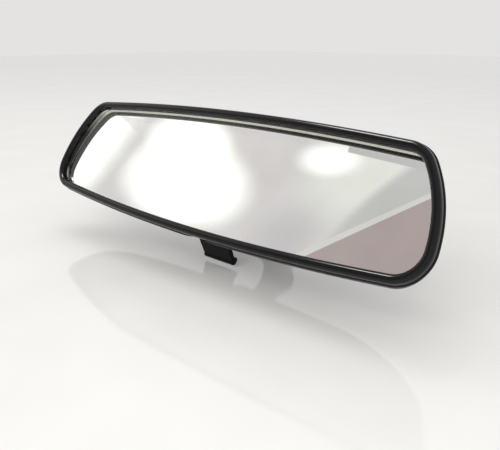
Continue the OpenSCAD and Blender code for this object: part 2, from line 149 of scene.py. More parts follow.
@dataclass(frozen=True)
class MouldedPlastic:
    """Injection-moulded plastic.

    Fine mould grain breaks up the highlights, and faint flow clouds in tone and gloss keep a large face
    from looking like one flat black.
    """

    name: str
    colour: str
    cloud_colour: str
    roughness: float
    grain: Grain
    grain_mm: float
    grain_depth_mm: float
    cloud_mm: float = 18.0
    gloss_swing: float = 0.04
    ior: float = 1.53
    shine: float = 0.5

    def build(self) -> bpy.types.Material:
        """Make the material.

        Returns:
            The node material.
        """
        material, tree, output = new_material(self.name)
        where = add_node(tree, "ShaderNodeTexCoord").outputs["Object"]
        cloud = add_node(tree, "ShaderNodeTexNoise", {"Scale": per_mm(self.cloud_mm), "Detail": 4.0},
                         {"Vector": where})
        tint = ramp(tree, cloud.outputs["Fac"], self.colour, self.cloud_colour, span=(0.35, 0.75))
        gloss = add_node(tree, "ShaderNodeMapRange",
                         {"From Min": 0.3, "From Max": 0.7, "To Min": self.roughness - self.gloss_swing,
                          "To Max": self.roughness + self.gloss_swing},
                         {"Value": cloud.outputs["Fac"]})
        if self.grain is Grain.SPARK:
            pattern = add_node(tree, "ShaderNodeTexVoronoi", {"Scale": per_mm(self.grain_mm)},
                               {"Vector": where}, feature="SMOOTH_F1").outputs["Distance"]
        else:
            pattern = add_node(tree, "ShaderNodeTexNoise", {"Scale": per_mm(self.grain_mm), "Detail": 3.0},
                               {"Vector": where}).outputs["Fac"]
        bump = add_node(tree, "ShaderNodeBump", {"Strength": 1.0, "Distance": self.grain_depth_mm * MM},
                        {"Height": pattern})
        shader = add_node(tree, "ShaderNodeBsdfPrincipled",
                          {"IOR": self.ior, "Specular IOR Level": self.shine},
                          {"Base Color": tint, "Roughness": gloss.outputs["Result"],
                           "Normal": bump.outputs["Normal"]})
        tree.links.new(shader.outputs["BSDF"], output.inputs["Surface"])
        return material


@dataclass(frozen=True)
class PlatedMetal:
    """Turned or rolled steel under a thin plating: drawn lines in one direction and small dull spots."""

    name: str
    colour: str
    dull_colour: str
    roughness: float
    line_mm: float
    line_depth_mm: float
    spot_mm: float = 2.5
    spot_dulling: float = 0.15
    stretch: Point3 = (0.05, 1.0, 1.0)

    def build(self) -> bpy.types.Material:
        """Make the material.

        Returns:
            The node material.
        """
        material, tree, output = new_material(self.name)
        where = add_node(tree, "ShaderNodeTexCoord").outputs["Object"]
        drawn = add_node(tree, "ShaderNodeMapping", {"Scale": self.stretch}, {"Vector": where})
        lines = add_node(tree, "ShaderNodeTexNoise", {"Scale": per_mm(self.line_mm), "Detail": 2.0},
                         {"Vector": drawn.outputs["Vector"]})
        spots = add_node(tree, "ShaderNodeTexNoise", {"Scale": per_mm(self.spot_mm), "Detail": 5.0},
                         {"Vector": where})
        tint = ramp(tree, spots.outputs["Fac"], self.colour, self.dull_colour, span=(0.45, 0.72))
        gloss = add_node(tree, "ShaderNodeMapRange",
                         {"From Min": 0.35, "From Max": 0.7, "To Min": self.roughness,
                          "To Max": self.roughness + self.spot_dulling},
                         {"Value": spots.outputs["Fac"]})
        bump = add_node(tree, "ShaderNodeBump", {"Strength": 1.0, "Distance": self.line_depth_mm * MM},
                        {"Height": lines.outputs["Fac"]})
        shader = add_node(tree, "ShaderNodeBsdfPrincipled", {"Metallic": 1.0},
                          {"Base Color": tint, "Roughness": gloss.outputs["Result"],
                           "Normal": bump.outputs["Normal"]})
        tree.links.new(shader.outputs["BSDF"], output.inputs["Surface"])
        return material


@dataclass(frozen=True)
class PowderCoat:
    """Baked powder paint on a casting: an even orange peel with a soft broad shine."""

    name: str
    colour: str
    high_colour: str
    roughness: float
    peel_mm: float
    peel_depth_mm: float
    ior: float = 1.5

    def build(self) -> bpy.types.Material:
        """Make the material.

        Returns:
            The node material.
        """
        material, tree, output = new_material(self.name)
        where = add_node(tree, "ShaderNodeTexCoord").outputs["Object"]
        peel = add_node(tree, "ShaderNodeTexNoise", {"Scale": per_mm(self.peel_mm), "Detail": 2.0},
                        {"Vector": where})
        tint = ramp(tree, peel.outputs["Fac"], self.colour, self.high_colour, span=(0.3, 0.8))
        bump = add_node(tree, "ShaderNodeBump", {"Strength": 1.0, "Distance": self.peel_depth_mm * MM},
                        {"Height": peel.outputs["Fac"]})
        shader = add_node(tree, "ShaderNodeBsdfPrincipled", {"IOR": self.ior, "Roughness": self.roughness},
                          {"Base Color": tint, "Normal": bump.outputs["Normal"]})
        tree.links.new(shader.outputs["BSDF"], output.inputs["Surface"])
        return material


@dataclass(frozen=True)
class PolishedGlass:
    """Float glass with polished faces: clear, with a very slight green in its depth."""

    name: str
    colour: str
    glare: str
    ior: float = 1.52
    ripple_mm: float = 40.0
    ripple_depth_mm: float = 0.0004

    def build(self) -> bpy.types.Material:
        """Make the material.

        Returns:
            The node material.
        """
        material, tree, output = new_material(self.name)
        where = add_node(tree, "ShaderNodeTexCoord").outputs["Object"]
        ripple = add_node(tree, "ShaderNodeTexNoise", {"Scale": per_mm(self.ripple_mm), "Detail": 1.0},
                          {"Vector": where})
        bump = add_node(tree, "ShaderNodeBump", {"Strength": 1.0, "Distance": self.ripple_depth_mm * MM},
                        {"Height": ripple.outputs["Fac"]})
        shader = add_node(tree, "ShaderNodeBsdfPrincipled",
                          {"Base Color": to_linear(self.colour), "Roughness": 0.0, "IOR": self.ior,
                           "Specular Tint": to_linear(self.glare), "Transmission Weight": 1.0},
                          {"Normal": bump.outputs["Normal"]})
        tree.links.new(shader.outputs["BSDF"], output.inputs["Surface"])
        return material


@dataclass(frozen=True)
class GroundEdge:
    """Edge of the glass, ground with coarse grit.

    Where its faces point up or down, along its long runs, it is pale and carries a painted glow: emission
    that stands in for the light the pane leads up to it. Its ends, where the faces turn sideways, are painted
    dark, a painted shade.
    """

    name: str
    colour: str
    grit_colour: str
    # Painted shade that darkens the ends of the edge
    painted_end_shade: str
    grit_mm: float
    # Strength of the painted glow, an emission along the long runs of the edge
    painted_glow: float

    def build(self) -> bpy.types.Material:
        """Make the material.

        Returns:
            The node material.
        """
        material, tree, output = new_material(self.name)
        where = add_node(tree, "ShaderNodeTexCoord").outputs["Object"]
        grit = add_node(tree, "ShaderNodeTexNoise", {"Scale": per_mm(self.grit_mm), "Detail": 4.0},
                        {"Vector": where})
        pale = ramp(tree, grit.outputs["Fac"], self.grit_colour, self.colour, span=(0.3, 0.7))
        # Painted light: faces that point up or down get the painted glow, faces turned sideways the painted
        # shade
        faces = add_node(tree, "ShaderNodeNewGeometry").outputs["Normal"]
        upward = add_node(tree, "ShaderNodeSeparateXYZ", links={"Vector": faces}).outputs["Z"]
        steep = add_node(tree, "ShaderNodeMath", links={0: upward}, operation="ABSOLUTE").outputs["Value"]
        painted_light_mask = add_node(tree, "ShaderNodeMapRange", {"From Min": 0.25, "From Max": 0.75},
                       {"Value": steep}).outputs["Result"]
        # Painted shade: the ends are mixed towards the dark end colour
        tint = add_node(tree, "ShaderNodeMix", {"A": to_linear(self.painted_end_shade)},
                        {"Factor": painted_light_mask, "B": pale}, data_type="RGBA")
        # Painted glow: the long runs emit light, though the edge is no lamp
        painted_glow_strength = add_node(tree, "ShaderNodeMath", {1: self.painted_glow}, {0: painted_light_mask}, operation="MULTIPLY")
        shader = add_node(tree, "ShaderNodeBsdfPrincipled", {"Roughness": 0.6, "IOR": 1.52},
                          {"Base Color": tint.outputs["Result"], "Emission Color": pale,
                           "Emission Strength": painted_glow_strength.outputs["Value"]})
        tree.links.new(shader.outputs["BSDF"], output.inputs["Surface"])
        return material


@dataclass(frozen=True)
class Silvering:
    """Silver laid on the back of the glass: a clean mirror with the faintest haze."""

    name: str
    colour: str
    haze_colour: str
    haze_mm: float
    roughness: float

    def build(self) -> bpy.types.Material:
        """Make the material.

        Returns:
            The node material.
        """
        material, tree, output = new_material(self.name)
        where = add_node(tree, "ShaderNodeTexCoord").outputs["Object"]
        haze = add_node(tree, "ShaderNodeTexNoise", {"Scale": per_mm(self.haze_mm), "Detail": 3.0},
                        {"Vector": where})
        tint = ramp(tree, haze.outputs["Fac"], self.haze_colour, self.colour, span=(0.3, 0.6))
        shader = add_node(tree, "ShaderNodeBsdfPrincipled", {"Metallic": 1.0, "Roughness": self.roughness},
                          {"Base Color": tint})
        tree.links.new(shader.outputs["BSDF"], output.inputs["Surface"])
        return material


class Finish(Enum):
    """Every finish on the mirror, by what the real one is."""

    # ABS from a spark-eroded mould: a dull black with a fine tooth, drawn coarser than real so that it shows
    HOUSING = MouldedPlastic("abs_black_spark_grain", "#111112", "#19191a", roughness=0.42, grain=Grain.SPARK,
                             grain_mm=0.35, grain_depth_mm=0.008, shine=0.35)
    # ABS from a polished mould: a deep black with a narrow, soft highlight
    BEZEL = MouldedPlastic("abs_black_satin", "#070708", "#0b0b0c", roughness=0.13, grain=Grain.POLISHED,
                           grain_mm=0.25, grain_depth_mm=0.0003, gloss_swing=0.02, shine=0.25)
    # ABS from a finer spark-eroded mould: a flat black that hardly shines
    LEVER = MouldedPlastic("abs_black_matt", "#070808", "#0c0d0d", roughness=0.4, grain=Grain.SPARK,
                           grain_mm=0.3, grain_depth_mm=0.005, cloud_mm=8.0, shine=0.1)
    # Unpigmented acetal: a waxy white with faint clouds
    ACETAL = MouldedPlastic("acetal_natural", "#d9d6cc", "#e4e1d8", roughness=0.38, grain=Grain.POLISHED,
                            grain_mm=0.8, grain_depth_mm=0.004, cloud_mm=6.0, ior=1.48)
    # Moulded rubber: a dry black without a highlight
    RUBBER = MouldedPlastic("rubber_moulded", "#151515", "#1f1f1f", roughness=0.75, grain=Grain.SPARK,
                            grain_mm=0.25, grain_depth_mm=0.01, cloud_mm=6.0, ior=1.52)
    # Closed-cell foam: a dark grey with small cells that swallow the light
    FOAM = MouldedPlastic("foam_closed_cell", "#2e2e2f", "#3d3d3e", roughness=0.85, grain=Grain.SPARK,
                          grain_mm=0.5, grain_depth_mm=0.08, cloud_mm=5.0, ior=1.4)
    # Turned steel under zinc: bright, with fine lines and dull spots
    STEEL = PlatedMetal("steel_zinc_plated", "#c3c6c9", "#9da1a5", roughness=0.24, line_mm=0.12,
                        line_depth_mm=0.002)
    # Rolled spring steel: darker, with lines along the rolling direction
    SPRING = PlatedMetal("spring_steel_rolled", "#8f9194", "#6b6c6f", roughness=0.3, line_mm=0.1,
                         line_depth_mm=0.002, stretch=(1.0, 0.06, 1.0))
    # Powder paint on a zinc casting: a soft black shine over an even orange peel
    COAT = PowderCoat("zinc_powder_coat", "#18191a", "#232425", roughness=0.36, peel_mm=0.9,
                      peel_depth_mm=0.02)
    # Polished float glass: clear, with a weak second image in its front face
    GLASS = PolishedGlass("float_glass_polished", "#fdfffe", "#9a9a9a")
    # Edge ground with coarse grit: pale and matt, its grit drawn coarser than real so that it shows
    # Its long runs carry a painted glow and its ends a painted shade
    EDGE = GroundEdge("float_glass_ground_edge", "#fbfbf2", "#f1f2e6", "#30312d", grit_mm=0.3, painted_glow=0.3)
    # Paint run round the silvering: a dull dark line at the back of the glass
    BACKING = PowderCoat("mirror_backing_paint", "#2b2c2a", "#353633", roughness=0.5, peel_mm=1.5,
                         peel_depth_mm=0.004)
    # Silver laid on the back of the glass: a clean mirror with a trace of haze
    SILVER = Silvering("silvering_on_glass", "#f7f6f5", "#f0efee", haze_mm=30.0, roughness=0.006)


_materials: dict[Finish, bpy.types.Material] = {}

# Only the bezel's ring goes in here, so that the small glint lamp lights nothing else
glint_receivers = bpy.data.collections.new("glint_receivers")


def material_of(finish: Finish) -> bpy.types.Material:
    """Material of a finish, made once.

    Args:
        finish: the finish to look up.

    Returns:
        Its material.
    """
    if finish not in _materials:
        _materials[finish] = finish.value.build()
    return _materials[finish]


# Construction nodes that stay in view as they are
CAD_FINISHES: dict[str, Finish] = {
    "crank_pin": Finish.STEEL,
    "lever_pin": Finish.STEEL,
    "detent_spring": Finish.SPRING,
    "spring_rivets": Finish.STEEL,
    "socket_carrier": Finish.HOUSING,
    "hinge_pin": Finish.STEEL,
    "socket_liner": Finish.ACETAL,
    "pressure_cup": Finish.ACETAL,
    "disc_spring": Finish.SPRING,
    "spring_retainer": Finish.STEEL,
    "retainer_screws": Finish.STEEL,
    "ball_stud": Finish.STEEL,
    "base_gasket": Finish.RUBBER,
    "spring_washer": Finish.SPRING,
    "arm_screw": Finish.STEEL,
}


@dataclass(frozen=True)
class HeadFrame:
    """Leaning frame of the head: X along it, Y up its face, Z out of its face, in millimetres."""

    origin: Vector
    up: Vector
    out: Vector

    @classmethod
    def from_joints(cls, hinge_in_head: Point2) -> "HeadFrame":
        """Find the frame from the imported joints.

        Args:
            hinge_in_head: height and depth of the dip hinge in the head's own frame.

        Returns:
            The head's frame in the row.
        """
        joints = {joint["name"]: joint for joint in frame["joints"]}
        up = Vector(joints["head_turn"]["axis"]).normalized()
        out = Vector(joints["head_spin"]["axis"]).normalized()
        hinge = Vector(joints["dip"]["pos_m"])
        return cls(hinge - (up * hinge_in_head[0] + out * hinge_in_head[1]) * MM, up, out)

    def matrix(self) -> Matrix:
        """Transform from the head's millimetres to the row's metres."""
        turn = Matrix((Vector((1, 0, 0)), self.up, self.out)).transposed().to_4x4()
        return Matrix.Translation(self.origin) @ turn @ Matrix.Scale(MM, 4)


@dataclass(frozen=True)
class HeadOutline:
    """Outline of the head in millimetres: four bowed sides, with a fan at each corner."""

    height: float = 65.6
    width: float = 245.0
    end_lean: float = 9.0
    corner_r: float = 15.8
    top_bow: float = 3.5
    bottom_bow: float = 4.85
    end_bow: float = 2.0
    long_steps: int = 72
    short_steps: int = 18
    corner_steps: int = 40

    def corners(self) -> list[Vector]:
        """Centres of the four corner arcs.

        Returns:
            The centres, anticlockwise from the lower left.
        """
        top = self.height / 2 - self.corner_r - self.top_bow
        bottom = -(self.height / 2 - self.corner_r - self.bottom_bow)
        mid = self.width / 2 - self.corner_r - self.end_bow
        lean = self.end_lean / 2
        return [Vector((-mid - lean, bottom)), Vector((mid + lean, bottom)),
                Vector((mid - lean, top)), Vector((-mid + lean, top))]

    def side(self, index: int, share: float) -> tuple[Vector, Vector]:
        """Point and outward direction on a bowed side.

        Args:
            index: side, from the bottom one anticlockwise.
            share: how far along the side, from 0 to 1.

        Returns:
            The point between the corner centres and its outward direction.
        """
        corners = self.corners()
        start, end = corners[index], corners[(index + 1) % 4]
        bow = (self.bottom_bow, self.end_bow, self.top_bow, self.end_bow)[index]
        along = end - start
        across = Vector((along.y, -along.x)).normalized()
        point = start + along * share + across * 4 * bow * share * (1 - share)
        slope = along + across * 4 * bow * (1 - 2 * share)
        return point, Vector((slope.y, -slope.x)).normalized()

    def loop(self, inset: float) -> list[Point2]:
        """Closed loop of points at a distance inside the outline.

        Args:
            inset: distance inside the outline.

        Returns:
            Points, anticlockwise as seen from the front.
        """
        radius = self.corner_r - inset
        points: list[Point2] = []
        for index in range(4):
            steps = self.short_steps if index % 2 else self.long_steps
            for k in range(steps + 1):
                point, normal = self.side(index, k / steps)
                points.append(tuple(point + normal * radius))
            centre, last = self.side(index, 1.0)
            first = self.side((index + 1) % 4, 0.0)[1]
            turn = (math.atan2(first.y, first.x) - math.atan2(last.y, last.x)) % math.tau
            for k in range(1, self.corner_steps):
                angle = math.atan2(last.y, last.x) + turn * k / self.corner_steps
                points.append((centre.x + radius * math.cos(angle), centre.y + radius * math.sin(angle)))
        return points

    def edge_y(self, x: float, side: int) -> float:
        """Height of the upper or lower edge over a place along the head.

        Args:
            x: the place along the head.
            side: 1 for the upper edge and -1 for the lower one.

        Returns:
            The edge's height.
        """
        half = self.corners()[2 if side > 0 else 1].x
        bow = self.top_bow if side > 0 else self.bottom_bow
        return side * (self.height / 2 - bow * (x / half) ** 2)


def rings_mesh(rings: Sequence[Sequence[Point3]], closed: bool) -> tuple[list[Point3], list[Face]]:
    """Join equal rings of points into a surface.

    Args:
        rings: rings in order, all with the same number of points.
        closed: whether the last ring joins the first one. Otherwise both ends are capped.

    Returns:
        Points and faces.
    """
    count = len(rings[0])
    turns = len(rings)
    points = [point for ring in rings for point in ring]
    faces: list[Face] = []
    for k in range(turns if closed else turns - 1):
        low, high = k * count, ((k + 1) % turns) * count
        for i in range(count):
            j = (i + 1) % count
            faces.append((low + i, low + j, high + j, high + i))
    if not closed:
        faces.append(tuple(range(count - 1, -1, -1)))
        faces.append(tuple(range((turns - 1) * count, turns * count)))
    return points, faces


def raw_object(name: str, points: Sequence[Point3], faces: Sequence[Face],
               place: Matrix) -> bpy.types.Object:
    """Make a mesh object from points and faces, with its faces turned outwards.

    Args:
        name: name of the object.
        points: points in the frame that place maps from.
        faces: faces as point numbers.
        place: transform to the row's metres.

    Returns:
        The linked object.
    """
    mesh = bpy.data.meshes.new(name)
    mesh.from_pydata([place @ Vector(p) for p in points], [], faces)
    work = bmesh.new()
    work.from_mesh(mesh)
    bmesh.ops.recalc_face_normals(work, faces=work.faces)
    work.to_mesh(mesh)
    work.free()
    piece = bpy.data.objects.new(name, mesh)
    bpy.context.scene.collection.objects.link(piece)
    return piece


def box_points(low: Point3, high: Point3) -> tuple[list[Point3], list[Face]]:
    """Block between two corners.

    Args:
        low: its lowest corner.
        high: its highest corner.

    Returns:
        Points and faces.
    """
    points = [(x, y, z) for z in (low[2], high[2]) for y in (low[1], high[1]) for x in (low[0], high[0])]
    faces: list[Face] = [(0, 2, 3, 1), (4, 5, 7, 6), (0, 1, 5, 4), (2, 6, 7, 3), (0, 4, 6, 2), (1, 3, 7, 5)]
    return points, faces


def boxes_mesh(boxes: Sequence[tuple[Point3, Point3]]) -> tuple[list[Point3], list[Face]]:
    """Put several blocks into one mesh.

    Args:
        boxes: lowest and highest corner of each block.

    Returns:
        Points and faces.
    """
    points: list[Point3] = []
    faces: list[Face] = []
    for low, high in boxes:
        some, quads = box_points(low, high)
        faces += [tuple(len(points) + i for i in quad) for quad in quads]
        points += some
    return points, faces


def turned_points(profile: Sequence[Point2], steps: int) -> tuple[list[Point3], list[Face]]:
    """Turn a profile of radius and height about Z, closed at both ends.

    Args:
        profile: radius and height, from one end to the other.
        steps: points round each ring.

    Returns:
        Points and faces.
    """
    turns = [math.tau * i / steps for i in range(steps)]
    rings = [[(r * math.cos(turn), r * math.sin(turn), z) for turn in turns] for r, z in profile]
    return rings_mesh(rings, closed=False)


def apply_modifiers(piece: bpy.types.Object) -> None:
    """Replace a piece's mesh by its mesh after modifiers.

    Args:
        piece: the piece, which loses its modifiers.
    """
    graph = bpy.context.evaluated_depsgraph_get()
    mesh = bpy.data.meshes.new_from_object(piece.evaluated_get(graph))
    piece.modifiers.clear()
    piece.data = mesh


def combine(piece: bpy.types.Object, tools: Sequence[bpy.types.Object], operation: str) -> None:
    """Cut, join or trim a piece by other solids, which are then deleted.

    Args:
        piece: the piece that is changed.
        tools: the solids that change it.
        operation: DIFFERENCE, UNION or INTERSECT.
    """
    for tool in tools:
        change = piece.modifiers.new("combine", "BOOLEAN")
        change.operation = operation
        change.solver = "EXACT"
        change.object = tool
    bpy.context.view_layer.update()
    apply_modifiers(piece)
    for tool in tools:
        bpy.data.objects.remove(tool)


def soften(piece: bpy.types.Object, width_mm: float, segments: int = 2) -> None:
    """Round a piece's sharp edges.

    Args:
        piece: the piece to round.
        width_mm: width of the rounding.
        segments: faces across it.
    """
    bevel = piece.modifiers.new("round", "BEVEL")
    bevel.width = width_mm * MM
    bevel.segments = segments
    bevel.limit_method = "ANGLE"
    bevel.angle_limit = math.radians(40)
    bpy.context.view_layer.update()
    apply_modifiers(piece)


def melt(piece: bpy.types.Object, voxel_mm: float, passes: int) -> None:
    """Run overlapping solids into one casting with small fillets.

    Args:
        piece: object whose mesh holds the overlapping solids.
        voxel_mm: size of the grid that the surface is rebuilt on.
        passes: smoothing passes, which make the fillets.
    """
    remesh = piece.modifiers.new("remesh", "REMESH")
    remesh.mode = "VOXEL"
    remesh.voxel_size = voxel_mm * MM
    smooth = piece.modifiers.new("smooth", "SMOOTH")
    smooth.factor = 0.5
    smooth.iterations = passes
    bpy.context.view_layer.update()
    apply_modifiers(piece)


def dress(piece: bpy.types.Object, body: str, finishes: Sequence[Finish],
          stands_for: Sequence[str] = (), sharp_deg: float = 35.0) -> None:
    """Shade a piece, give it its finishes and tie it to the body that it moves with.

    Args:
        piece: the piece.
        body: body that it rides on.
        finishes: its finishes, in slot order.
        stands_for: construction nodes that it replaces.
        sharp_deg: edges over this angle stay sharp.
    """
    piece.data.materials.clear()
    for finish in finishes:
        piece.data.materials.append(material_of(finish))
    piece.data.shade_smooth()
    piece.data.set_sharp_from_angle(angle=math.radians(sharp_deg))
    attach(piece, body)
    if stands_for:
        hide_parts(*stands_for)
    log.info("%s: %d faces on body %s", piece.name, len(piece.data.polygons), body)


@dataclass
class MirrorHead:
    """Bezel, rear housing and prism glass, all on the head's outline.

    Sizes are millimetres in the head's frame. Insets run inwards from the outline, and heights run out of the
    mirror's face.
    """

    place: HeadFrame
    outline: HeadOutline = field(default_factory=HeadOutline)
    rim_z: float = -1.6
    # Bezel
    bezel_inset: float = 0.6
    bezel_w: float = 4.1
    bezel_foot: float = 1.0
    bezel_crown: float = 3.7
    bezel_power: Point2 = (0.45, 0.6)
    bezel_edge: tuple[Point2, ...] = ((0.25, 0.15), (0.06, 0.3))
    crown_steps: int = 40
    matt_bands: int = 8
    lip_t: float = 0.25
    lip_round: Point2 = (0.08, 0.1)
    lip_gap: float = 0.02
    skirt: Point2 = (2.35, 3.0)
    skirt_gap: float = 0.1
    skirt_depth: float = 5.6
    skirt_half: float = 98.0
    skirt_steps: int = 48
    hook_x: tuple[float, ...] = (-84.0, -28.0, 28.0, 84.0)
    hook_size: Point3 = (9.0, 1.6, 1.8)
    hook_out: float = 0.25
    hook_round: float = 0.2
    # Glass, its silvering and its pads
    glass_z: float = -1.1
    glass_inset: float = 3.35
    glass_low_t: float = 2.4
    glass_high_t: float = 4.8
    glass_bevel: float = 0.35
    glass_end_trim: float = 0.2
    glass_end_lean: float = 0.6
    silver_t: Point2 = (0.02, 0.15)
    pad_shift: float = 1.3
    # Rear housing
    wall: float = 1.9
    depth: float = 34.4
    collar: float = 7.0
    end_taper_deg: float = 28.0
    draft_deg: float = 3.0
    rim_round: tuple[Point2, ...] = ((0.5, 0.0), (0.15, 0.12), (0.0, 0.5))
    dome_power: float = 2.5
    dome_end_deg: float = 88.5
    dome_steps: int = 34
    arm_hole: Point3 = (0.0, 2.0, 13.9)
    hole_ring: Point2 = (2.2, 0.8)
    hole_reach: float = 10.0
    hole_steps: int = 96
    notch_half: float = 12.3
    notch_y: float = -26.6
    notch_back: float = -26.0
    notch_reach: float = 1.0
    slot_room: Point3 = (1.0, 2.0, 0.8)
    rib_x: tuple[float, ...] = (-95.0, -55.0, 55.0, 95.0)
    rib_t: float = 2.0
    rib_half_h: float = 25.0
    rib_gap: float = 1.35
    # Pivots: height and depth of each pin, then the ears that carry it
    hinge: Point2 = (17.0, -12.0)
    hinge_bore_r: float = 2.05
    hinge_ear: Point2 = (18.4, 22.8)
    hinge_ear_below: float = 4.0
    hinge_ear_behind: float = 5.0
    hinge_ear_before: float = 4.0
    lever_pivot: Point2 = (-23.0, -12.5)
    lever_bore_r: float = 1.51
    lever_ear: Point2 = (12.7, 16.3)
    lever_ear_above: float = 3.6
    lever_ear_behind: float = 4.6
    lever_ear_front: float = -8.4
    bore_reach: float = 30.0
    bore_steps: int = 48

    def ring(self, inset: float, z: float, size: float = 1.0) -> list[Point3]:
        """Loop of the outline at a height, drawn in towards the middle by a factor."""
        return [(x * size, y * size, z) for x, y in self.outline.loop(inset)]

    def shell_ring(self, inset: float, z: float, size: float = 1.0) -> list[Point3]:
        """Ring of the housing, whose ends lean in with depth and whose long walls have draft.

        Args:
            inset: distance inside the head's outline.
            z: height of the ring.
            size: factor that draws it in towards the middle.

        Returns:
            Points of the ring.
        """
        along = 1 - (self.rim_z - z) * math.tan(math.radians(self.end_taper_deg)) / (self.outline.width / 2)
        across = 1 - (self.rim_z - z) * math.tan(math.radians(self.draft_deg)) / (self.outline.height / 2)
        return [(x * along, y * across, z) for x, y, z in self.ring(inset, z, size)]

    def glass_ring(self, inset: float, z: float) -> list[Point3]:
        """Loop of the glass, which stays clear of the housing's leaning ends."""
        trim = 1 - self.glass_end_trim / (self.outline.width / 2)
        return [(x * trim, y, z) for x, y, z in self.ring(inset, z)]

    def hook_centres(self, inset: float) -> list[Point3]:
        """Middles of the snap hooks along the upper and lower edges."""
        z = self.rim_z - self.skirt_depth + self.hook_size[2]
        return [(x, self.outline.edge_y(x, side) - side * inset, z) for x in self.hook_x for side in (-1, 1)]

    def blocks(self, name: str, centres: Sequence[Point3], size: Point3) -> bpy.types.Object:
        """One mesh of equal blocks.

        Args:
            name: name of the object.
            centres: middles of the blocks.
            size: their size along, up and out of the head.

        Returns:
            The object.
        """
        boxes = []
        for c in centres:
            low = tuple(c[i] - size[i] / 2 for i in range(3))
            high = tuple(c[i] + size[i] / 2 for i in range(3))
            boxes.append((low, high))
        points, faces = boxes_mesh(boxes)
        return raw_object(name, points, faces, self.place.matrix())

    def bezel_section(self) -> list[Point2]:
        """Section of the bezel's ring, from its outer edge over the crown and back along its underside.

        Returns:
            Inset and height of each point.
        """
        inner = self.bezel_inset + self.bezel_w
        base = self.rim_z + self.bezel_foot
        rise = self.bezel_crown + self.glass_z - base
        section = [(self.bezel_inset + inset, self.rim_z + height) for inset, height in self.bezel_edge]
        for k in range(self.crown_steps + 1):
            angle = math.pi * k / self.crown_steps
            inside = k > self.crown_steps / 2
            z = base + rise * math.sin(angle) ** self.bezel_power[inside]
            if inside:
                z = max(z, self.glass_z + self.lip_t)
            section.append((self.bezel_inset + self.bezel_w / 2 * (1 - math.cos(angle)), z))
        under = self.glass_z + self.lip_gap
        near, far = self.skirt[0], self.skirt[1] + self.skirt_gap
        section += [(inner, self.glass_z + self.lip_round[1]), (inner - self.lip_round[0], under)]
        section += [(far, under), (far, self.rim_z), (near, self.rim_z)]
        section.append((near, self.rim_z + self.bezel_edge[0][1]))
        return section

    def bezel(self) -> None:
        """Sweep the bezel's section round the outline and add its skirts and snap hooks."""
        section = self.bezel_section()
        points, faces = rings_mesh([self.ring(inset, z) for inset, z in section], closed=True)
        ring = raw_object("bezel_ring", points, faces, self.place.matrix())
        dress(ring, "head", [Finish.BEZEL, Finish.LEVER], ["bezel"], sharp_deg=50)
        count = len(ring.data.polygons) // len(section)
        satin_bands = len(section) - self.matt_bands
        shades = [0] * (satin_bands * count) + [1] * (self.matt_bands * count)
        ring.data.polygons.foreach_set("material_index", shades)
        glint_receivers.objects.link(ring)
        self.skirts()
        inset = self.skirt[1] - self.hook_size[1] / 2 - self.hook_out
        hooks = self.blocks("bezel_snap_hooks", self.hook_centres(inset), self.hook_size)
        soften(hooks, self.hook_round)
        dress(hooks, "head", [Finish.BEZEL])

    def skirts(self) -> None:
        """Run the bezel's skirt along the inside of the housing's upper and lower walls."""
        top, bottom = self.rim_z, self.rim_z - self.skirt_depth
        for side, name in ((1, "upper"), (-1, "lower")):
            rings = []
            for k in range(self.skirt_steps + 1):
                x = self.skirt_half * (2 * k / self.skirt_steps - 1)
                edge = self.outline.edge_y(x, side)
                far, near = edge - side * self.skirt[0], edge - side * self.skirt[1]
                rings.append([(x, far, top), (x, near, top), (x, near, bottom), (x, far, bottom)])
            points, faces = rings_mesh(rings, closed=False)
            strip = raw_object(f"bezel_skirt_{name}", points, faces, self.place.matrix())
            dress(strip, "head", [Finish.BEZEL])

    def shell_rings(self, inset: float, depth: float, rim: bool) -> list[list[Point3]]:
        """Rings of one face of the housing from its rim to its back.

        Args:
            inset: distance inside the head's outline.
            depth: depth of this face behind the rim.
            rim: whether the rim's rounded edge is included.

        Returns:
            The rings in order.
        """
        power = 2 / self.dome_power
        dome = depth - self.collar
        edge = self.rim_round if rim else ((0.0, 0.0),)
        rings = [self.shell_ring(inset + inward, self.rim_z - down) for inward, down in edge]
        for k in range(self.dome_steps + 1):
            angle = math.radians(self.dome_end_deg) * k / self.dome_steps
            z = self.rim_z - self.collar - dome * math.sin(angle) ** power
            rings.append(self.shell_ring(inset, z, math.cos(angle) ** power))
        return rings

    def glass_back(self, y: float) -> float:
        """Height of the glass's leaning back face."""
        return self.glass_z - (self.glass_low_t + self.glass_high_t) / 2 - self.wedge() * y

    def wedge(self) -> float:
        """Slope of the glass's back face against its front."""
        return (self.glass_high_t - self.glass_low_t) / (self.outline.height - 2 * self.glass_inset)

    def round_solid(self, name: str, radius: float, low: float, high: float) -> bpy.types.Object:
        """Round solid along the head's depth, about the middle of the arm's hole.

        Args:
            name: name of the object.
            radius: its radius.
            low: height of its far end.
            high: height of its near end.

        Returns:
            The solid.
        """
        across, up = self.arm_hole[:2]
        points, faces = turned_points([(radius, low), (radius, high)], self.hole_steps)
        moved = [(x + across, y + up, z) for x, y, z in points]
        return raw_object(name, moved, faces, self.place.matrix())

    def cross_bore(self, name: str, centre: Point2, radius: float) -> bpy.types.Object:
        """Round solid along the head's length, through the ears on both sides.

        Args:
            name: name of the object.
            centre: height and depth of its axis.
            radius: its radius.

        Returns:
            The solid.
        """
        ends = [(radius, -self.bore_reach), (radius, self.bore_reach)]
        points, faces = turned_points(ends, self.bore_steps)
        moved = [(z, x + centre[0], y + centre[1]) for x, y, z in points]
        return raw_object(name, moved, faces, self.place.matrix())

